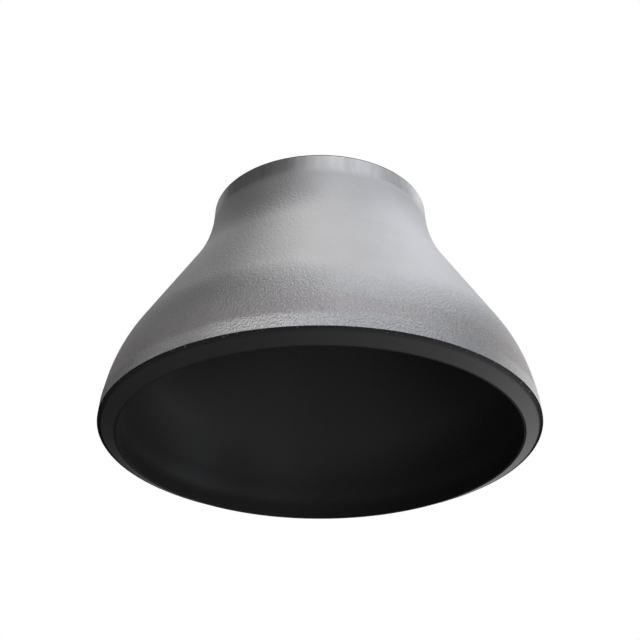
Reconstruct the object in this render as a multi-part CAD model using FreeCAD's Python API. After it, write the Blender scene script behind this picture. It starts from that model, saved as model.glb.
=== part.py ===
"""Concentric reducer, pipe size 12 schedule 60 to size 6 schedule 80, with butt-weld ends.

A reducer is pressed from one length of seamless pipe, so the whole object is a
single piece of steel: reducer_body. It is one closed outline, a polygon with
rounded corners, swept about the Z axis. The wide end stands on z = 0 and the
small end points up.

Lengths are millimetres and angles are degrees. A slope is how far a wall leans
in from the vertical as it rises.
"""

import FreeCAD, Part
import math
import os

# --- Driving dimensions -------------------------------------------------------

# End connections
WIDE_OUTSIDE_DIAMETER = 323.8       # pipe size 12, across the corner of the bevel
SMALL_OUTSIDE_DIAMETER = 168.3      # pipe size 6, across the corner of the bevel
END_TO_END = 203.0                  # root face to root face
WIDE_WALL = 14.27                   # schedule 60 wall of size 12
SMALL_WALL = 10.97                  # schedule 80 wall of size 6

# Weld preparation, the same cut at both ends
BEVEL_ANGLE = 25.0                  # between the bevel and the end plane
ROOT_FACE = 1.6                     # width of the flat ring inside the bevel
WIDE_BORE_LAND = 12.0               # depth bored true to the pipe's inside diameter
SMALL_BORE_LAND = 12.0

# Sizing bands that the press leaves next to the weld preparations
WIDE_LAND_LENGTH = 12.0
WIDE_LAND_SLOPE = 5.0
SMALL_LAND_LENGTH = 13.5
SMALL_LAND_SLOPE = 4.0

# Pressed body, from each land to the sharp corner that its bend rounds off
SHOULDER_LENGTH = 32.4
SHOULDER_SLOPE = 12.0
NECK_LENGTH = 28.0
NECK_SLOPE = 7.0

# Radii of the outside corners
BEVEL_CORNER_RADIUS = 1.3           # edge break between a bevel and its land
LAND_BLEND_RADIUS = 40.0            # soft line between the wide land and the shoulder
SHOULDER_RADIUS = 125.0             # convex bend from the shoulder into the cone
NECK_RADIUS = 128.0                 # hollow bend from the cone into the neck
MOUTH_RADIUS = 0.4                  # edge break between a root face and its bore

SHARP = 0.0
FULL_TURN = 360.0
SMALLEST_EDGE = 1e-4


# --- Outline, with each point's radius along X and its height along Z ---------

def point(radius, height):
    """Return a point of the outline."""
    return FreeCAD.Vector(radius, 0, height)


def along_wall(start, height, slope):
    """Return the point this much higher on a straight wall of this slope."""
    return start + point(-height * math.tan(math.radians(slope)), height)


def inside_corner(corner, slope_below, slope_above, wall):
    """Return the corner of the inside that lies one wall thickness from an outside corner."""
    mean_slope = math.radians((slope_below + slope_above) / 2)
    half_turn = math.radians((slope_above - slope_below) / 2)
    depth = wall / math.cos(half_turn)
    return corner - point(math.cos(mean_slope), math.sin(mean_slope)) * depth


def bevel_height(wall):
    """Return the height of the weld bevel on a wall of this thickness."""
    return (wall - ROOT_FACE) * math.tan(math.radians(BEVEL_ANGLE))


def reducer_outline():
    """Return the closed outline as a list of (corner point, rounding radius)."""
    wide_bore_radius = WIDE_OUTSIDE_DIAMETER / 2 - WIDE_WALL
    small_bore_radius = SMALL_OUTSIDE_DIAMETER / 2 - SMALL_WALL

    wide_mouth = point(wide_bore_radius, 0)
    wide_root = point(wide_bore_radius + ROOT_FACE, 0)
    wide_bevel_top = point(WIDE_OUTSIDE_DIAMETER / 2, bevel_height(WIDE_WALL))
    wide_land_top = along_wall(wide_bevel_top, WIDE_LAND_LENGTH, WIDE_LAND_SLOPE)
    shoulder = along_wall(wide_land_top, SHOULDER_LENGTH, SHOULDER_SLOPE)

    small_mouth = point(small_bore_radius, END_TO_END)
    small_root = point(small_bore_radius + ROOT_FACE, END_TO_END)
    small_bevel_foot = point(SMALL_OUTSIDE_DIAMETER / 2, END_TO_END - bevel_height(SMALL_WALL))
    small_land_foot = along_wall(small_bevel_foot, -SMALL_LAND_LENGTH, SMALL_LAND_SLOPE)
    neck = along_wall(small_land_foot, -NECK_LENGTH, NECK_SLOPE)

    cone_slope = math.degrees(math.atan2(shoulder.x - neck.x, neck.z - shoulder.z))
    inner_shoulder = inside_corner(shoulder, SHOULDER_SLOPE, cone_slope, WIDE_WALL)
    inner_neck = inside_corner(neck, cone_slope, NECK_SLOPE, SMALL_WALL)

    return [
        (wide_root, SHARP),
        (wide_bevel_top, BEVEL_CORNER_RADIUS),
        (wide_land_top, LAND_BLEND_RADIUS),
        (shoulder, SHOULDER_RADIUS),
        (neck, NECK_RADIUS),
        (small_land_foot, SHARP),
        (small_bevel_foot, BEVEL_CORNER_RADIUS),
        (small_root, SHARP),
        (small_mouth, MOUTH_RADIUS),
        (point(small_bore_radius, END_TO_END - SMALL_BORE_LAND), SHARP),
        (inner_neck, NECK_RADIUS + SMALL_WALL),
        (inner_shoulder, SHOULDER_RADIUS - WIDE_WALL),
        (point(wide_bore_radius, WIDE_BORE_LAND), SHARP),
        (wide_mouth, MOUTH_RADIUS),
    ]


# --- Rounding a polygon -------------------------------------------------------

def wanted_trims(points, radii):
    """Return how far each corner's arc reaches along its two walls."""
    trims = []
    for index, radius in enumerate(radii):
        to_previous = points[index - 1] - points[index]
        to_next = points[(index + 1) % len(points)] - points[index]
        trims.append(radius / math.tan(to_previous.getAngle(to_next) / 2))
    return trims


def fitted_trims(points, radii):
    """Return the trims, with neighbours that want more than their wall cut back alike."""
    wanted = wanted_trims(points, radii)
    fitted = list(wanted)
    for index, start in enumerate(points):
        after = (index + 1) % len(points)
        wall_length = start.distanceToPoint(points[after])
        share = wall_length / max(wanted[index] + wanted[after], wall_length)
        fitted[index] = min(fitted[index], wanted[index] * share)
        fitted[after] = min(fitted[after], wanted[after] * share)
    return fitted


def rounded_corner(previous, corner, following, trim):
    """Return the three points that an arc goes through, or the corner alone if it is sharp."""
    if trim < SMALLEST_EDGE:
        return [corner]
    to_previous = (previous - corner).normalize()
    to_next = (following - corner).normalize()
    half_angle = to_previous.getAngle(to_next) / 2
    to_middle = trim / math.cos(half_angle) - trim * math.tan(half_angle)
    middle = (to_previous + to_next).normalize()
    return [corner + to_previous * trim, corner + middle * to_middle, corner + to_next * trim]


def rounded_wire(outline):
    """Return the closed wire of a polygon's straight walls and corner arcs."""
    points = [corner for corner, radius in outline]
    trims = fitted_trims(points, [radius for corner, radius in outline])
    count = len(points)
    corners = [
        rounded_corner(points[i - 1], points[i], points[(i + 1) % count], trims[i])
        for i in range(count)
    ]
    edges = []
    for index, corner in enumerate(corners):
        if len(corner) > 1:
            edges.append(Part.Arc(*corner).toShape())
        wall_end = corners[(index + 1) % count][0]
        if corner[-1].distanceToPoint(wall_end) > SMALLEST_EDGE:
            edges.append(Part.LineSegment(corner[-1], wall_end).toShape())
    return Part.Wire(edges)


# --- The piece ----------------------------------------------------------------

def make_reducer_body():
    """Return the solid of the reducer, turned from its outline."""
    section = Part.Face(rounded_wire(reducer_outline()))
    axis_point = point(0, 0)
    axis_direction = point(0, 1)
    return section.revolve(axis_point, axis_direction, FULL_TURN)


def main():
    """Write the reducer's only piece."""
    os.makedirs("parts", exist_ok=True)
    make_reducer_body().exportStep("parts/reducer_body.step")


main()
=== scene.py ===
"""Concentric reducer: the dressed model.

The steel is one closed surface of revolution, worked out from the outline of
its wall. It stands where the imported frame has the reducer, at the same size,
and it carries two finishes: shot-blasted steel outside, and a black coat on the
weld ends and in the bore, which is thin and matt along its corners.
"""

import logging
import math
from dataclasses import dataclass
from enum import Enum
from typing import Any

import bpy
import numpy as np
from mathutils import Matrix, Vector


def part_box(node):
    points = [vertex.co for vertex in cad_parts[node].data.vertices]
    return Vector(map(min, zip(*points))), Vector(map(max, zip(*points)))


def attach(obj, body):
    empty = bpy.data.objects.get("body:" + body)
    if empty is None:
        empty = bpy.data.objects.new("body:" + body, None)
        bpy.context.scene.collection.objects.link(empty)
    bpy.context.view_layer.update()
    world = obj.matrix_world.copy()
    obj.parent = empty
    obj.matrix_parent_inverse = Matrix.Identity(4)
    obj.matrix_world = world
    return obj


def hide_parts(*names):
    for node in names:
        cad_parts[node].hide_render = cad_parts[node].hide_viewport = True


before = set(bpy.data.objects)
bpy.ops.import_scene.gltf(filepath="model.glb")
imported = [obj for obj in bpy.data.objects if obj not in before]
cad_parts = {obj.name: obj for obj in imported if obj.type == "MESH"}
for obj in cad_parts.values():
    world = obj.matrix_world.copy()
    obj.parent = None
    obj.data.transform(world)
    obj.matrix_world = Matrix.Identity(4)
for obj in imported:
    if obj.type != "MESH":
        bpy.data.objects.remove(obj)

LOG = logging.getLogger("reducer")
MM = 0.001
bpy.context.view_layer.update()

NodeSocket = bpy.types.NodeSocket
NodeTree = bpy.types.NodeTree

WHITE = (1.0, 1.0, 1.0, 1.0)
PLAIN_NOISE = {"Detail": 1.0, "Roughness": 0.5}     # lumps, with one layer of finer ones


# --- Small helpers ------------------------------------------------------------

def srgb(code: str) -> tuple[float, float, float, float]:
    """Turn an sRGB hex colour into Blender's linear colour.

    A channel c becomes c / 12.92 up to 0.04045, and ((c + 0.055) / 1.055) ** 2.4 above.

    Args:
        code: six hex digits with a leading hash.

    Returns:
        Linear red, green, blue and an alpha of 1.
    """
    channels = [int(code[start:start + 2], 16) / 255 for start in (1, 3, 5)]
    linear = [c / 12.92 if c <= 0.04045 else ((c + 0.055) / 1.055) ** 2.4 for c in channels]
    return (*linear, 1.0)


def add_node(tree: NodeTree, kind: str, settings: dict[str, Any] | None = None,
             links: dict[Any, NodeSocket] | None = None,
             values: dict[Any, Any] | None = None) -> bpy.types.Node:
    """Add one shader node.

    Args:
        tree: the node tree that takes the node.
        kind: Blender's name of the node type.
        settings: the node's own properties.
        links: input name or number to the output socket that feeds it.
        values: input name or number to a fixed value.

    Returns:
        The new node.
    """
    node = tree.nodes.new(kind)
    for name, value in (settings or {}).items():
        setattr(node, name, value)
    for name, value in (values or {}).items():
        node.inputs[name].default_value = value
    for name, socket in (links or {}).items():
        tree.links.new(socket, node.inputs[name])
    return node


def new_material(name: str) -> tuple[bpy.types.Material, NodeTree]:
    """Make an empty node material.

    Args:
        name: the material's name.

    Returns:
        The material and its emptied node tree.
    """
    material = bpy.data.materials.new(name)
    material.use_nodes = True
    material.node_tree.nodes.clear()
    return material, material.node_tree


def add_object(name: str, data: bpy.types.ID) -> bpy.types.Object:
    """Put a mesh, a lamp or a camera into the scene.

    Args:
        name: the object's name.
        data: what the object shows.

    Returns:
        The new object.
    """
    item = bpy.data.objects.new(name, data)
    bpy.context.scene.collection.objects.link(item)
    return item


# --- Finishes -----------------------------------------------------------------

@dataclass(frozen=True)
class Band:
    """A stretch of the wall whose surface differs from the rest. The defaults are the rest's.

    Attributes:
        full_mm: height on the axis where it has its full effect.
        gone_mm: height on the axis where nothing of it is left.
        roughness: roughness of its steel.
        pebbles: height of its pebbles, as a share of the rest's.
        grit: height of its grit, as a share of the rest's.
        speckle: how strongly its grit lightens and darkens the steel.
        streaks: how strongly the press die's drag marks do.
        scale: how far a thin film of brown mill scale covers it.
        shade: its brightness, as a share of the rest's; painted light or shade.
    """

    full_mm: float
    gone_mm: float
    roughness: float
    pebbles: float = 1.0
    grit: float = 1.0
    speckle: float = 0.0
    streaks: float = 0.0
    scale: float = 0.0
    shade: float = 1.0


@dataclass(frozen=True)
class BlastedSteel:
    """Carbon steel, hot pressed, ground true at both ends and then shot blasted.

    Shot leaves a fine pebbled grain that scatters what the metal mirrors, so it
    looks soft and grey under broad lights, with no sharp reflection.
    """

    name: str = "shot_blasted_carbon_steel"
    dark: str = "#b5b4b4"
    light: str = "#c5c4c5"
    scale_tint: str = "#fffbfa"     # what mill scale does to the steel's colour
    roughness: float = 0.5
    roughness_spread: float = 0.06
    bands: tuple[Band, ...] = (
        # The shoulder, where the shot hit hardest.
        Band(35, 75, roughness=0.50, grit=4.5, speckle=3.0),
        # Mill scale that the grinding left tints it; its 0.955 shade is painted shade of the
        # crease.
        Band(27, 35, roughness=0.50, grit=4.5, speckle=3.2, scale=1.0, shade=0.955),
        # The wide end's land; its 1.05 shade is painted light, brightening the land as the lamps
        # do.
        Band(15.5, 20.0, roughness=0.35, pebbles=0.15, grit=5.5, speckle=3.2, shade=1.05),
        # The small end's land.
        Band(188.5, 179.5, roughness=0.32, pebbles=0.35, grit=0.9, speckle=0.3, streaks=2.2),
    )
    pebble_mm: float = 1.9          # several shot dimples, because one is too fine to show
    pebble_height_mm: float = 0.20
    grit_mm: float = 1.1            # also coarser than the real grit, which is too fine to show
    grit_height_mm: float = 0.06
    grain_stretch: float = 1.3      # pressing over the die draws the grain out along the axis
    patch_mm: float = 35.0          # width of the faint lighter and darker patches
    wander_mm: float = 4.0          # how far those patches move the bands' edges up and down
    streak_mm: float = 5.0          # spacing of the drag marks round the wall
    streak_stretch: float = 12.0    # how many times longer than wide they are

    def build(self) -> bpy.types.Material:
        """Make the material.

        Patches, pebbles and grit are three noises. The height on the axis decides
        how strongly each one shows.

        Returns:
            The material.
        """
        material, tree = new_material(self.name)
        place = add_node(tree, "ShaderNodeTexCoord").outputs["Object"]
        drawn = add_node(tree, "ShaderNodeMapping", links={"Vector": place},
                         values={"Scale": (1, 1, 1 / self.grain_stretch)}).outputs["Vector"]
        patches = add_node(tree, "ShaderNodeTexNoise", links={"Vector": place},
                           values={"Scale": 1 / (self.patch_mm * MM),
                                   "Detail": 4.0, "Roughness": 0.6}).outputs["Fac"]
        pebbles, grit = (
            add_node(tree, "ShaderNodeTexNoise", links={"Vector": drawn},
                     values={"Scale": 1 / (size * MM)} | PLAIN_NOISE).outputs["Fac"]
            for size in (self.pebble_mm, self.grit_mm))
        here = self.surface(tree, place, patches, pebbles)
        shader = add_node(tree, "ShaderNodeBsdfPrincipled",
                          links={"Base Color": self.colour(tree, place, patches, grit, here),
                                 "Roughness": here["roughness"],
                                 "Normal": self.relief(tree, pebbles, grit, here)},
                          values={"Metallic": 1.0})
        add_node(tree, "ShaderNodeOutputMaterial", links={"Surface": shader.outputs["BSDF"]})
        return material

    def surface(self, tree: NodeTree, place: NodeSocket, patches: NodeSocket,
                pebbles: NodeSocket) -> dict[str, NodeSocket]:
        """Work out what the surface is like at the shaded point.

        The wall has Band's defaults. Each band is laid over those before it, and
        its share rises smoothly from 0 at gone_mm to 1 at full_mm, at heights
        that wander with the patches.

        Args:
            tree: the material's node tree.
            place: where the point is.
            patches: the patches' noise, which moves the bands' edges.
            pebbles: the pebbles' noise, which spreads the roughness.

        Returns:
            The sockets of roughness and of the other properties that Band names.
        """
        height = add_node(tree, "ShaderNodeSeparateXYZ", links={"Vector": place}).outputs["Z"]
        wander = self.wander_mm * MM
        moved = add_node(tree, "ShaderNodeMath", {"operation": "MULTIPLY_ADD"},
                         {0: patches, 2: height}, {1: wander}).outputs[0]
        moved = add_node(tree, "ShaderNodeMath", {"operation": "SUBTRACT"},
                         {0: moved}, {1: wander / 2}).outputs[0]
        rough = add_node(tree, "ShaderNodeMapRange", links={"Value": pebbles},
                         values={"To Min": self.roughness - self.roughness_spread,
                                 "To Max": self.roughness + self.roughness_spread})
        here = {"roughness": rough.outputs["Result"]}
        for name in ("pebbles", "grit", "speckle", "streaks", "scale", "shade"):
            here[name] = add_node(tree, "ShaderNodeValue").outputs["Value"]
            here[name].default_value = getattr(Band, name)
        for band in self.bands:
            share = add_node(tree, "ShaderNodeMapRange", {"interpolation_type": "SMOOTHSTEP"},
                             {"Value": moved},
                             {"From Min": band.gone_mm * MM, "From Max": band.full_mm * MM})
            for name, below in here.items():
                here[name] = add_node(tree, "ShaderNodeMix",
                                      links={"Factor": share.outputs["Result"], "A": below},
                                      values={"B": getattr(band, name)}).outputs["Result"]
        return here

    def relief(self, tree: NodeTree, pebbles: NodeSocket, grit: NodeSocket,
               here: dict[str, NodeSocket]) -> NodeSocket:
        """Raise the pebbles, and the grit on them.

        Args:
            tree: the material's node tree.
            pebbles: the pebbles' noise.
            grit: the grit's noise.
            here: what the surface is like at the shaded point.

        Returns:
            The bumped normal.
        """
        bumps: list[bpy.types.Node] = []
        for share, noise, tall in ((here["pebbles"], pebbles, self.pebble_height_mm),
                                   (here["grit"], grit, self.grit_height_mm)):
            depth = add_node(tree, "ShaderNodeMath", {"operation": "MULTIPLY"},
                             {0: share}, {1: tall * MM}).outputs[0]
            under = {"Normal": bumps[-1].outputs["Normal"]} if bumps else {}
            bumps.append(add_node(tree, "ShaderNodeBump",
                                  links={"Height": noise, "Distance": depth} | under,
                                  values={"Strength": 1.0}))
        return bumps[-1].outputs["Normal"]

    def colour(self, tree: NodeTree, place: NodeSocket, patches: NodeSocket, grit: NodeSocket,
               here: dict[str, NodeSocket]) -> NodeSocket:
        """Colour the steel.

        The patches' noise goes from the dark steel to the light one. The grit
        and the drag marks shift it by their own noise less a half, times their
        strength. Mill scale tints the result, and the band's shade scales it,
        which paints light or shade onto the band.

        Args:
            tree: the material's node tree.
            place: where the shaded point is.
            patches: the patches' noise.
            grit: the grit's noise.
            here: what the surface is like at the point.

        Returns:
            The base colour.
        """
        along = add_node(tree, "ShaderNodeMapping", links={"Vector": place},
                         values={"Scale": (1, 1, 1 / self.streak_stretch)}).outputs["Vector"]
        marks = add_node(tree, "ShaderNodeTexNoise", links={"Vector": along},
                         values={"Scale": 1 / (self.streak_mm * MM),
                                 "Detail": 2.0, "Roughness": 0.5}).outputs["Fac"]
        lightness = patches
        for noise, strength in ((grit, here["speckle"]), (marks, here["streaks"])):
            shift = add_node(tree, "ShaderNodeMath", {"operation": "SUBTRACT"},
                             {0: noise}, {1: 0.5}).outputs[0]
            lightness = add_node(tree, "ShaderNodeMath", {"operation": "MULTIPLY_ADD"},
                                 {0: shift, 1: strength, 2: lightness}).outputs[0]
        steel = add_node(tree, "ShaderNodeMix", {"data_type": "RGBA", "clamp_factor": False},
                         {"Factor": lightness},
                         {"A": srgb(self.dark), "B": srgb(self.light)}).outputs["Result"]
        tinted = add_node(tree, "ShaderNodeMix", {"data_type": "RGBA", "blend_type": "MULTIPLY"},
                          {"Factor": here["scale"], "A": steel},
                          {"B": srgb(self.scale_tint)}).outputs["Result"]
        # The band's shade: painted light on the wide end's land, painted shade just above it.
        return add_node(tree, "ShaderNodeVectorMath", {"operation": "SCALE"},
                        {0: tinted, "Scale": here["shade"]}).outputs[0]


@dataclass(frozen=True)
class ThinLine:
    """A ring round the axis where the coat is thin and matt. Lengths are millimetres.

    Attributes:
        radius: radius of the ring.
        height: height of the ring on the axis.
        reach: how far from the ring the coat has its full satin skin again.
    """

    radius: float
    height: float
    reach: float


@dataclass(frozen=True)
class BlackCoat:
    """Black alkyd paint brushed on in one thin film.

    It hides the steel but keeps the faint grain under it. Its satin skin turns
    grey where light skims along it, except on the lines where it is thin.

    Attributes:
        corners: the rings where it is rubbed.
        faces: the rings where it is only thin.
        sheen_fades: how edge-on a thin film starts to lose its sheen, and has none.
        full_share: the share of a line's reach that is fully thin.
        worn_share: the share of a corner's reach that is rubbed quite dull.
        chip_mm: width of the rusty chips on a rubbed corner.
        chip_threshold: level of the noise above which a chip has come off.
    """

    corners: tuple[ThinLine, ...]
    faces: tuple[ThinLine, ...]
    name: str = "black_alkyd_coat"
    colour: str = "#1f1f20"
    thin_colour: str = "#1c1c1d"
    sheen_colour: str = "#363636"
    worn_sheen: str = "#303030"
    sheen_fades: tuple[float, float] = (0.45, 0.7)
    roughness: float = 0.45
    full_share: float = 0.5
    worn_share: float = 0.15
    chip_colour: str = "#6a5a4d"
    chip_mm: float = 1.9
    chip_threshold: float = 0.66
    grain_mm: float = 1.6
    grain_height_mm: float = 0.14

    def closeness(self, tree: NodeTree, section: NodeSocket,
                  lines: tuple[ThinLine, ...]) -> NodeSocket:
        """Measure how far the nearest of some lines is, as a share of its reach.

        Args:
            tree: the material's node tree.
            section: the shaded point's distance from the axis in X and its height in Z.
            lines: the rings.

        Returns:
            The least of the distances, each divided by its line's reach.
        """
        nearest = None
        for line in lines:
            away = add_node(tree, "ShaderNodeVectorMath", {"operation": "DISTANCE"}, {0: section},
                            {1: (line.radius * MM, 0, line.height * MM)}).outputs["Value"]
            away = add_node(tree, "ShaderNodeMath", {"operation": "DIVIDE"}, {0: away},
                            {1: line.reach * MM}).outputs[0]
            nearest = add_node(tree, "ShaderNodeMath", {"operation": "MINIMUM"},
                               {0: nearest, 1: away}).outputs[0] if nearest else away
        return nearest

    def wear(self, tree: NodeTree, place: NodeSocket) -> tuple[NodeSocket, NodeSocket]:
        """Work out where the coat is thin, and where it is rubbed.

        Args:
            tree: the material's node tree.
            place: where the shaded point is.

        Returns:
            How thin the coat is and how far it is rubbed, each from 0 to 1.
        """
        height = add_node(tree, "ShaderNodeSeparateXYZ", links={"Vector": place}).outputs["Z"]
        across = add_node(tree, "ShaderNodeVectorMath", {"operation": "MULTIPLY"},
                          {0: place}, {1: (1, 1, 0)}).outputs[0]
        radius = add_node(tree, "ShaderNodeVectorMath", {"operation": "LENGTH"},
                          {0: across}).outputs["Value"]
        section = add_node(tree, "ShaderNodeCombineXYZ",
                           links={"X": radius, "Z": height}).outputs[0]
        corner = self.closeness(tree, section, self.corners)
        face = self.closeness(tree, section, self.faces)
        either = add_node(tree, "ShaderNodeMath", {"operation": "MINIMUM"},
                          {0: corner, 1: face}).outputs[0]
        thin, rubbed = (
            add_node(tree, "ShaderNodeMapRange", {"interpolation_type": "SMOOTHSTEP"},
                     {"Value": share}, {"From Min": none, "From Max": full}).outputs["Result"]
            for share, none, full in ((either, 1.0, self.full_share),
                                      (corner, self.full_share, self.worn_share)))
        return thin, rubbed

    def thin_film(self, tree: NodeTree, place: NodeSocket, rubbed: NodeSocket,
                  normal: NodeSocket) -> NodeSocket:
        """Make the thin film: matt, chipped where it is rubbed, and with no sheen edge-on.

        How edge-on it is goes from 0 where it faces the eye to 1 where it is seen
        along the surface, which is what a Blend of 0.5 gives.

        Args:
            tree: the material's node tree.
            place: where the shaded point is.
            rubbed: how far the coat is rubbed, from 0 to 1.
            normal: the grain's normal.

        Returns:
            The film's shader.
        """
        noise = add_node(tree, "ShaderNodeTexNoise", links={"Vector": place},
                         values={"Scale": 1 / (self.chip_mm * MM)} | PLAIN_NOISE).outputs["Fac"]
        chipped = add_node(tree, "ShaderNodeMath", {"operation": "GREATER_THAN"},
                           {0: noise}, {1: self.chip_threshold}).outputs[0]
        chips = add_node(tree, "ShaderNodeMath", {"operation": "MULTIPLY"},
                         {0: chipped, 1: rubbed}).outputs[0]
        paint, sheen = (
            add_node(tree, "ShaderNodeMix", {"data_type": "RGBA"}, {"Factor": share},
                     {"A": srgb(whole), "B": srgb(spoilt)}).outputs["Result"]
            for share, whole, spoilt in ((chips, self.thin_colour, self.chip_colour),
                                         (rubbed, self.sheen_colour, self.worn_sheen)))
        edge_on = add_node(tree, "ShaderNodeLayerWeight", links={"Normal": normal},
                           values={"Blend": 0.5}).outputs["Facing"]
        kept = add_node(tree, "ShaderNodeMapRange", {"interpolation_type": "SMOOTHSTEP"},
                        {"Value": edge_on},
                        {"From Min": self.sheen_fades[0], "From Max": self.sheen_fades[1],
                         "To Min": 1.0, "To Max": 0.0}).outputs["Result"]
        sheen = add_node(tree, "ShaderNodeVectorMath", {"operation": "SCALE"},
                         {0: sheen, "Scale": kept}).outputs["Vector"]
        matt = add_node(tree, "ShaderNodeBsdfDiffuse", links={"Color": paint, "Normal": normal})
        glossy = add_node(tree, "ShaderNodeBsdfGlossy", links={"Color": sheen, "Normal": normal},
                          values={"Roughness": self.roughness})
        return add_node(tree, "ShaderNodeAddShader",
                        links={0: matt.outputs[0], 1: glossy.outputs[0]}).outputs[0]

    def build(self) -> bpy.types.Material:
        """Make the material: the satin skin, and the thin film where the coat is thin.

        Returns:
            The material.
        """
        material, tree = new_material(self.name)
        place = add_node(tree, "ShaderNodeTexCoord").outputs["Object"]
        grain = add_node(tree, "ShaderNodeTexNoise", links={"Vector": place},
                         values={"Scale": 1 / (self.grain_mm * MM),
                                 "Detail": 3.0, "Roughness": 0.6}).outputs["Fac"]
        normal = add_node(tree, "ShaderNodeBump", links={"Height": grain},
                          values={"Strength": 1.0,
                                  "Distance": self.grain_height_mm * MM}).outputs["Normal"]
        thin, rubbed = self.wear(tree, place)
        satin = add_node(tree, "ShaderNodeBsdfPrincipled", links={"Normal": normal},
                         values={"Base Color": srgb(self.colour), "Roughness": self.roughness})
        shader = add_node(tree, "ShaderNodeMixShader",
                          links={0: thin, 1: satin.outputs[0],
                                 2: self.thin_film(tree, place, rubbed, normal)})
        add_node(tree, "ShaderNodeOutputMaterial", links={"Surface": shader.outputs[0]})
        return material


class Finish(Enum):
    """The finish of one stretch of the wall, in the order of the material slots."""

    STEEL = 0
    COAT = 1


# --- The wall's outline -------------------------------------------------------

@dataclass(frozen=True)
class Corner:
    """One corner of the outline, in millimetres.

    Attributes:
        radius: distance from the axis.
        height: distance above the wide end's root face.
        rounding: radius of the arc that rounds the corner.
        arc_finish: finish of the arc.
        wall_finish: finish of the straight wall that follows.
    """

    radius: float
    height: float
    rounding: float
    arc_finish: Finish
    wall_finish: Finish


@dataclass(frozen=True)
class Outline:
    """A sampled outline, with one row per point in order round the wall.

    Attributes:
        radius: the points' distances from the axis, in metres.
        height: their heights, in metres.
        normal: the outward normals, as radius and height.
        finish: the finish of the step after each point, as a material slot.
    """

    radius: np.ndarray
    height: np.ndarray
    normal: np.ndarray
    finish: np.ndarray


def sample_outline(corners: list[Corner], spacing: float, turn_step: float) -> Outline:
    """Sample a closed polygon whose corners are rounded by tangent arcs.

    A corner's arc starts and ends rounding * tan(turn / 2) from the corner along
    its two walls. Its points stand at centre + rounding * (cos a, sin a) for
    evenly spaced angles a, and walls are divided evenly. An arc has at least two
    steps and a wall one.

    Args:
        corners: the polygon, with the outside of the solid on the right hand.
        spacing: longest step along the outline, in millimetres.
        turn_step: largest turn between two points of an arc, in radians.

    Returns:
        The sampled outline.
    """
    points = np.array([[c.radius, c.height] for c in corners])
    arcs: list[tuple[np.ndarray, np.ndarray]] = []
    for index, corner in enumerate(corners):
        into = points[index] - points[index - 1]
        out = points[(index + 1) % len(points)] - points[index]
        into, out = into / np.linalg.norm(into), out / np.linalg.norm(out)
        turn = math.atan2(into[0] * out[1] - into[1] * out[0], float(into @ out))
        trim = corner.rounding * abs(math.tan(turn / 2))
        start_normal = np.array([into[1], -into[0]])
        side = 1.0 if turn > 0 else -1.0
        centre = points[index] - into * trim - start_normal * corner.rounding * side
        steps = max(2, math.ceil(abs(turn) / turn_step),
                    math.ceil(corner.rounding * abs(turn) / spacing))
        start_angle = math.atan2(start_normal[1], start_normal[0])
        angles = start_angle + np.linspace(0, turn, steps + 1)
        directions = np.stack([np.cos(angles), np.sin(angles)], axis=1)
        arcs.append((centre + directions * corner.rounding * side, directions))

    rows: list[np.ndarray] = []
    normals: list[np.ndarray] = []
    finishes: list[np.ndarray] = []
    for index, corner in enumerate(corners):
        arc, directions = arcs[index]
        next_start = arcs[(index + 1) % len(arcs)][0][0]
        wall = next_start - arc[-1]
        steps = max(1, math.ceil(np.linalg.norm(wall) / spacing))
        shares = np.arange(1, steps)[:, None] / steps
        rows += [arc, arc[-1] + wall * shares]
        normals += [directions, np.repeat(directions[-1:], steps - 1, axis=0)]
        finishes += [np.full(len(arc) - 1, corner.arc_finish.value),
                     np.full(steps, corner.wall_finish.value)]
    outline = np.concatenate(rows) * MM
    return Outline(outline[:, 0], outline[:, 1], np.concatenate(normals), np.concatenate(finishes))


# --- The reducer --------------------------------------------------------------

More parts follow.
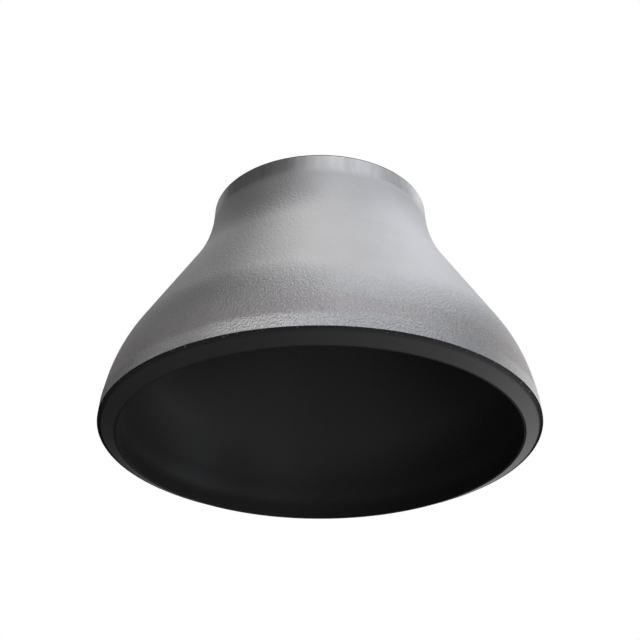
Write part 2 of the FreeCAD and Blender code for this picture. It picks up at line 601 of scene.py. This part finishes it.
@dataclass(frozen=True)
class ReducerBody:
    """The pressed steel body, one closed surface. Lengths are millimetres, angles degrees.

    Attributes:
        outside_wide: the wide end's outside diameter, at the bevel's corner before rounding.
        outside_small: the small end's.
        end_to_end: height from root face to root face.
        wall_wide: wall at the wide end and on the shoulder.
        wall_small: wall at the small end and in the neck.
        bevel_angle: slope of both weld bevels, from the plane of the end.
        root_face: width of the flat ring at each end.
        bore_land: length of each straight mouth of the bore.
        wide_land: length along the axis and slope of the band at the wide end.
        shoulder: the same of the wall above it.
        neck: the same of the wall below the small end's band.
        small_land: the same of that band.
        bevel_rounding: radius of the bevels' outer corners.
        land_blend: radius where a land meets the rest of the wall.
        shoulder_rounding: outside radius of the turn from shoulder to cone.
        neck_rounding: outside radius of the turn from cone to neck.
        mouth_rounding: radius of the bore's edges.
        edge_rounding: radius of the root faces' outer edges.
        facets: number of steps round the axis.
        spacing: longest step along the outline.
        turn_step: largest turn between two points of an arc.
    """

    outside_wide: float = 323.8
    outside_small: float = 168.3
    end_to_end: float = 203.0
    wall_wide: float = 14.27
    wall_small: float = 10.97
    bevel_angle: float = 25.0
    root_face: float = 1.6
    bore_land: float = 12.0
    wide_land: tuple[float, float] = (12.0, 5.0)
    shoulder: tuple[float, float] = (32.4, 12.0)
    neck: tuple[float, float] = (28.0, 7.0)
    small_land: tuple[float, float] = (13.5, 4.0)
    bevel_rounding: float = 1.3
    land_blend: float = 40.0
    shoulder_rounding: float = 125.0
    neck_rounding: float = 128.0
    mouth_rounding: float = 0.4
    edge_rounding: float = 0.25
    facets: int = 360
    spacing: float = 2.5
    turn_step: float = 8.0

    def bevel_corners(self) -> tuple[tuple[float, float], ...]:
        """Find where the bevels meet the outside.

        A bevel rises from its root face by its width times the tangent of its angle.

        Returns:
            Radius and height of the wide end's corner and of the small end's.
        """
        rise = math.tan(math.radians(self.bevel_angle))
        return ((self.outside_wide / 2, (self.wall_wide - self.root_face) * rise),
                (self.outside_small / 2,
                 self.end_to_end - (self.wall_small - self.root_face) * rise))

    def rubbed_corners(self, reach: float = 4.5) -> tuple[ThinLine, ...]:
        """Return the rings where the bevels' outer corners have rubbed the coat thin."""
        return tuple(ThinLine(radius, height, reach) for radius, height in self.bevel_corners())

    def root_faces(self, reach: float = 1.4) -> tuple[ThinLine, ...]:
        """Find the rings along the middle of the root faces, where the coat is thin.

        Args:
            reach: how far from a ring the coat has its full skin again.

        Returns:
            The wide end's ring and the small end's.
        """
        half = self.root_face / 2
        return (ThinLine(self.outside_wide / 2 - self.wall_wide + half, 0.0, reach),
                ThinLine(self.outside_small / 2 - self.wall_small + half, self.end_to_end, reach))

    def corners(self) -> list[Corner]:
        """Work out the outline's corners.

        Outside, each straight wall starts where the one before it ends. Inside,
        a corner lies where the two walls next to it cross once both have moved
        in by the wall's thickness.

        Returns:
            The corners, up the outside and down the inside.
        """
        def climb(start: np.ndarray, height: float, slope: float) -> np.ndarray:
            """Go up a straight wall that leans in by slope."""
            return start + np.array([-height * math.tan(math.radians(slope)), height])

        def inside(corner: np.ndarray, below: float, above: float, wall: float) -> np.ndarray:
            """Find the inside corner behind an outside one.

            It lies on the line that halves the turn, wall / cos(turn / 2) away.

            Args:
                corner: the outside corner.
                below: slope of the wall under it, in degrees.
                above: slope of the wall over it.
                wall: thickness of both.

            Returns:
                The inside corner.
            """
            mean = math.radians((below + above) / 2)
            half_turn = math.radians((above - below) / 2)
            return corner - np.array([math.cos(mean), math.sin(mean)]) * wall / math.cos(half_turn)

        wide_bevel, small_bevel = (np.array(corner) for corner in self.bevel_corners())
        wide_bore, small_bore = wide_bevel[0] - self.wall_wide, small_bevel[0] - self.wall_small
        top = self.end_to_end
        wide_land = climb(wide_bevel, *self.wide_land)
        shoulder = climb(wide_land, *self.shoulder)
        small_land = climb(small_bevel, -self.small_land[0], self.small_land[1])
        neck = climb(small_land, -self.neck[0], self.neck[1])
        cone = math.degrees(math.atan2(shoulder[0] - neck[0], neck[1] - shoulder[1]))
        inner_shoulder = inside(shoulder, self.shoulder[1], cone, self.wall_wide)
        inner_neck = inside(neck, cone, self.neck[1], self.wall_small)
        steel, coat = Finish.STEEL, Finish.COAT
        edge, mouth = self.edge_rounding, self.mouth_rounding
        return [
            Corner(wide_bore + self.root_face, 0, edge, coat, coat),
            Corner(*wide_bevel, self.bevel_rounding, coat, steel),
            Corner(*wide_land, self.land_blend, steel, steel),
            Corner(*shoulder, self.shoulder_rounding, steel, steel),
            Corner(*neck, self.neck_rounding, steel, steel),
            Corner(*small_land, self.land_blend, steel, steel),
            Corner(*small_bevel, self.bevel_rounding, coat, coat),
            Corner(small_bore + self.root_face, top, edge, coat, coat),
            Corner(small_bore, top, mouth, coat, coat),
            Corner(small_bore, top - self.bore_land, self.land_blend, coat, coat),
            Corner(*inner_neck, self.neck_rounding + self.wall_small, coat, coat),
            Corner(*inner_shoulder, self.shoulder_rounding - self.wall_wide, coat, coat),
            Corner(wide_bore, self.bore_land, self.land_blend, coat, coat),
            Corner(wide_bore, 0, mouth, coat, coat),
        ]

    def build(self, finishes: dict[Finish, BlastedSteel | BlackCoat]) -> bpy.types.Object:
        """Turn the outline about the axis.

        A point at angle a is (radius * cos a, radius * sin a, height), and its
        normal is the outline's normal turned by the same angle.

        Args:
            finishes: what makes each finish's material.

        Returns:
            The mesh object, with its finishes.
        """
        outline = sample_outline(self.corners(), self.spacing, math.radians(self.turn_step))
        count = len(outline.radius)
        angles = np.linspace(0, 2 * math.pi, self.facets, endpoint=False)
        turn = np.stack([np.cos(angles), np.sin(angles)], axis=1)[:, None, :]
        points = np.empty((self.facets, count, 3))
        points[..., :2] = turn * outline.radius[None, :, None]
        points[..., 2] = outline.height
        normals = np.empty_like(points)
        normals[..., :2] = turn * outline.normal[None, :, 0, None]
        normals[..., 2] = outline.normal[:, 1]

        column, row = np.meshgrid(np.arange(self.facets), np.arange(count), indexing="ij")
        next_column, next_row = (column + 1) % self.facets, (row + 1) % count
        faces = np.stack([column * count + row, next_column * count + row,
                          next_column * count + next_row, column * count + next_row], axis=-1)
        mesh = bpy.data.meshes.new("reducer_body_steel")
        mesh.from_pydata(points.reshape(-1, 3), [], faces.reshape(-1, 4).tolist())
        mesh.polygons.foreach_set("use_smooth", np.ones(self.facets * count, dtype=bool))
        slots = np.tile(outline.finish, self.facets).astype(np.int32)
        mesh.polygons.foreach_set("material_index", slots)
        mesh.update()
        mesh.normals_split_custom_set_from_vertices(normals.reshape(-1, 3).tolist())
        for finish in Finish:
            mesh.materials.append(finishes[finish].build())
        return add_object("pressed_steel_body", mesh)


# --- Studio -------------------------------------------------------------------

def direction(azimuth: float, elevation: float) -> Vector:
    """Find the way to a place in the studio.

    Args:
        azimuth: degrees round the axis from the camera's side, -Y, to its right, +X.
        elevation: degrees above the floor.

    Returns:
        The unit vector that points there from the reducer.
    """
    turn, rise = math.radians(azimuth), math.radians(elevation)
    return Vector((math.sin(turn) * math.cos(rise), -math.cos(turn) * math.cos(rise),
                   math.sin(rise)))


class Tint(Enum):
    """The colour of a lamp's light."""

    NEUTRAL = "#ffffff"
    FAINTLY_COOL = "#f9fbff"
    COOL = "#f4f8ff"


@dataclass(frozen=True)
class Softbox:
    """A round lamp behind a diffuser, aimed at the reducer.

    Attributes:
        name: where it stands.
        azimuth: degrees round the axis from the camera's side, -Y, to its right, +X.
        elevation: degrees above the floor.
        half_width: half the angle it fills, seen from the reducer, in degrees.
        strength: brightness of its diffuser, where white paper shows as 1.
        distance: how far it stands from the reducer, in metres.
        tint: colour of its light.
    """

    name: str
    azimuth: float
    elevation: float
    half_width: float
    strength: float
    distance: float
    tint: Tint = Tint.NEUTRAL

    def build(self, target: Vector) -> None:
        """Set the lamp up.

        A disc lamp of power P and area A has a brightness of P / (pi * A).

        Args:
            target: the point it is aimed at.
        """
        light = bpy.data.lights.new(self.name, "AREA")
        light.shape = "DISK"
        light.size = 2 * self.distance * math.tan(math.radians(self.half_width))
        light.energy = self.strength * math.pi * math.pi * (light.size / 2) ** 2
        light.color = srgb(self.tint.value)[:3]
        way = direction(self.azimuth, self.elevation)
        lamp = add_object(self.name, light)
        lamp.location = target + way * self.distance
        lamp.rotation_euler = way.to_track_quat("Z", "Y").to_euler()
        lamp.visible_camera = False


@dataclass(frozen=True)
class Studio:
    """Camera, lamps, backdrop and floor. Lengths are metres, angles degrees.

    Attributes:
        camera_distance: how far the camera stands from the middle of the wide end.
        camera_below: how far under the wide end's plane it stands.
        camera_pitch: how far up it looks.
        camera_lens: its focal length, in millimetres.
        camera_clip: how near it still sees.
        target_height: height on the axis of the point that the lamps are aimed at.
        lamps: the lamps, the brightest first.
        ambient: brightness of the dim room.
        backdrop_azimuth: where the middle of the white backdrop stands for the metal.
        backdrop_elevation: how high that is.
        backdrop_mirrored: its brightness there, as a share of what the camera sees.
        backdrop_reach: how far from its middle it is still white, and gone.
        floor_drop: how far the floor lies under the wide end.
        floor_radius: how far it reaches.
        floor_corners: number of corners of its rim.
        floor_white: how far it is plain white under the reducer, where it keeps the shadow.
        floor_whitens: how far from the reducer it starts to whiten, and is all white.
        floor_colour: its colour under the reducer.
    """

    camera_distance: float = 0.9612
    camera_below: float = 24.63
    camera_pitch: float = 30.01
    camera_lens: float = 73.74
    camera_clip: float = 0.01
    target_height: float = 0.09
    lamps: tuple[Softbox, ...] = (
        Softbox("right_low", 77.4, -5.6, 11, 3.78, 3, Tint.COOL),
        Softbox("left_top", -116.3, 82.1, 11, 1.86, 3),
        Softbox("front_high", -9.4, 28.2, 15, 1.43, 3, Tint.FAINTLY_COOL),
        Softbox("right_high", 98.6, 58.6, 15, 1.20, 0.75, Tint.COOL),
        Softbox("front_steep", 13.6, 60, 15, 1.19, 0.75, Tint.FAINTLY_COOL),
        Softbox("right_top", 106.2, 79.9, 11, 1.08, 3),
        Softbox("front_left_level", -37.1, 16.9, 15, 1.07, 0.75),
        Softbox("front_right_low", 29.6, -19.2, 15, 1.06, 0.75),
        Softbox("front_right_steep", 58.4, 48.9, 15, 0.78, 0.75, Tint.COOL),
        Softbox("back_right_high", 131, 55.3, 15, 0.77, 0.75, Tint.COOL),
        Softbox("front_right_high", 30.7, 34.9, 21, 0.70, 0.75, Tint.COOL),
        Softbox("right_below", 104, -54.6, 40, 0.51, 0.75),
        Softbox("right_level", 67.9, 19.2, 15, 0.51, 0.75, Tint.COOL),
        Softbox("back_high", -176.4, 57.2, 21, 0.48, 3),
        Softbox("left_level", -77.3, 11, 21, 0.34, 0.75),
        Softbox("back_left_high", -145, 42, 15, 0.27, 3),
        Softbox("front_low", -18.2, -34, 30.5, 0.23, 0.75),
        Softbox("left_below", -86, -57.2, 30.5, 0.20, 0.75),
    )
    ambient: float = 0.08
    backdrop_azimuth: float = 145
    backdrop_elevation: float = 0
    backdrop_mirrored: float = 1.0
    backdrop_reach: tuple[float, float] = (26, 60)
    floor_drop: float = 0.0005
    floor_radius: float = 1.6
    floor_corners: int = 96
    floor_white: float = 0.45
    floor_whitens: tuple[float, float] = (0.25, 0.75)
    floor_colour: str = "#f0f0f0"

    def add_camera(self) -> None:
        """Look up into the wide end, as a person would who lifts the reducer overhead."""
        camera = add_object("camera", bpy.data.cameras.new("camera"))
        camera.data.lens = self.camera_lens
        camera.data.clip_start = self.camera_clip
        below = math.radians(self.camera_below)
        camera.location = (0, -self.camera_distance * math.cos(below),
                           -self.camera_distance * math.sin(below))
        camera.rotation_euler = (math.radians(90 + self.camera_pitch), 0, 0)
        bpy.context.scene.camera = camera

    def add_world(self) -> None:
        """Give the camera a white backdrop, which metal and glass mirror where it stands.

        The rest of what they mirror, and all that lights the reducer from here,
        is a dim room. The backdrop fades with the angle from its middle.
        """
        world = bpy.data.worlds.new("studio")
        world.use_nodes = True
        tree = world.node_tree
        tree.nodes.clear()
        rays = add_node(tree, "ShaderNodeLightPath").outputs
        way = add_node(tree, "ShaderNodeTexCoord").outputs["Generated"]
        facing = add_node(tree, "ShaderNodeVectorMath", {"operation": "DOT_PRODUCT"}, {0: way},
                          {1: direction(self.backdrop_azimuth, self.backdrop_elevation)})
        backdrop = add_node(tree, "ShaderNodeMapRange", {"interpolation_type": "SMOOTHSTEP"},
                            {"Value": facing.outputs["Value"]},
                            {"From Min": math.cos(math.radians(self.backdrop_reach[1])),
                             "From Max": math.cos(math.radians(self.backdrop_reach[0])),
                             "To Max": self.backdrop_mirrored}).outputs["Result"]
        mirrored = add_node(tree, "ShaderNodeMath", {"operation": "MAXIMUM"},
                            {0: rays["Is Glossy Ray"],
                             1: rays["Is Transmission Ray"]}).outputs[0]
        shown = add_node(tree, "ShaderNodeMath", {"operation": "MULTIPLY"},
                         {0: mirrored, 1: backdrop}).outputs[0]
        white = add_node(tree, "ShaderNodeMath", {"operation": "MAXIMUM"},
                         {0: shown, 1: rays["Is Camera Ray"]}).outputs[0]
        room, paper = (add_node(tree, "ShaderNodeBackground",
                                values={"Color": WHITE, "Strength": strength}).outputs[0]
                       for strength in (self.ambient, 1.0))
        mix = add_node(tree, "ShaderNodeMixShader", links={0: white, 1: room, 2: paper})
        add_node(tree, "ShaderNodeOutputWorld", links={"Surface": mix.outputs[0]})
        bpy.context.scene.world = world

    def floor_material(self) -> bpy.types.Material:
        """Make a pale paint that whitens with distance and can't be seen from below.

        Returns:
            The material.
        """
        material, tree = new_material("pale_floor")
        place = add_node(tree, "ShaderNodeTexCoord").outputs["Object"]
        away = add_node(tree, "ShaderNodeVectorMath", {"operation": "LENGTH"},
                        {0: place}).outputs["Value"]
        share = add_node(tree, "ShaderNodeMapRange", {"interpolation_type": "SMOOTHSTEP"},
                         {"Value": away},
                         {"From Min": self.floor_whitens[0], "From Max": self.floor_whitens[1],
                          "To Min": self.floor_white, "To Max": 1.0}).outputs["Result"]
        paint = add_node(tree, "ShaderNodeBsdfDiffuse", values={"Color": srgb(self.floor_colour)})
        white = add_node(tree, "ShaderNodeEmission", values={"Color": WHITE, "Strength": 1.0})
        top = add_node(tree, "ShaderNodeMixShader",
                       links={0: share, 1: paint.outputs[0], 2: white.outputs[0]})
        under = add_node(tree, "ShaderNodeNewGeometry").outputs["Backfacing"]
        clear = add_node(tree, "ShaderNodeBsdfTransparent")
        mix = add_node(tree, "ShaderNodeMixShader",
                       links={0: under, 1: top.outputs[0], 2: clear.outputs[0]})
        add_node(tree, "ShaderNodeOutputMaterial", links={"Surface": mix.outputs[0]})
        return material

    def add_floor(self) -> None:
        """Lay a round floor that runs into the backdrop and doesn't stop light from below.

        Its rim is (radius * cos a, radius * sin a, -drop) at evenly spaced angles a.
        """
        angles = np.linspace(0, 2 * math.pi, self.floor_corners, endpoint=False)
        rim = np.stack([np.cos(angles) * self.floor_radius, np.sin(angles) * self.floor_radius,
                        np.full(self.floor_corners, -self.floor_drop)], axis=1)
        mesh = bpy.data.meshes.new("floor")
        mesh.from_pydata(rim, [], [list(range(self.floor_corners))])
        mesh.materials.append(self.floor_material())
        floor = add_object("floor", mesh)
        floor.visible_diffuse = floor.visible_glossy = floor.visible_transmission = False
        floor.visible_shadow = False

    def build(self) -> None:
        """Set up the whole studio."""
        self.add_camera()
        self.add_world()
        self.add_floor()
        for lamp in self.lamps:
            lamp.build(Vector((0, 0, self.target_height)))


def main() -> None:
    """Build the reducer and the studio round it."""
    low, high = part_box("reducer_body")
    LOG.info("the frame's reducer is %.1f mm wide and %.1f mm high",
             (high.x - low.x) / MM, (high.z - low.z) / MM)
    body = ReducerBody()
    coat = BlackCoat(body.rubbed_corners(), body.root_faces())
    piece = body.build({Finish.STEEL: BlastedSteel(), Finish.COAT: coat})
    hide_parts("reducer_body")
    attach(piece, "root")
    LOG.info("%s is %.1f mm wide and %.1f mm high, with %d faces", piece.name,
             piece.dimensions.x / MM, piece.dimensions.z / MM, len(piece.data.polygons))
    studio = Studio()
    studio.build()
    LOG.info("the studio has %d lamps", len(studio.lamps))
    bpy.context.scene.view_settings.view_transform = "Standard"


if __name__ == "__main__":
    logging.basicConfig(level=logging.INFO)
    main()
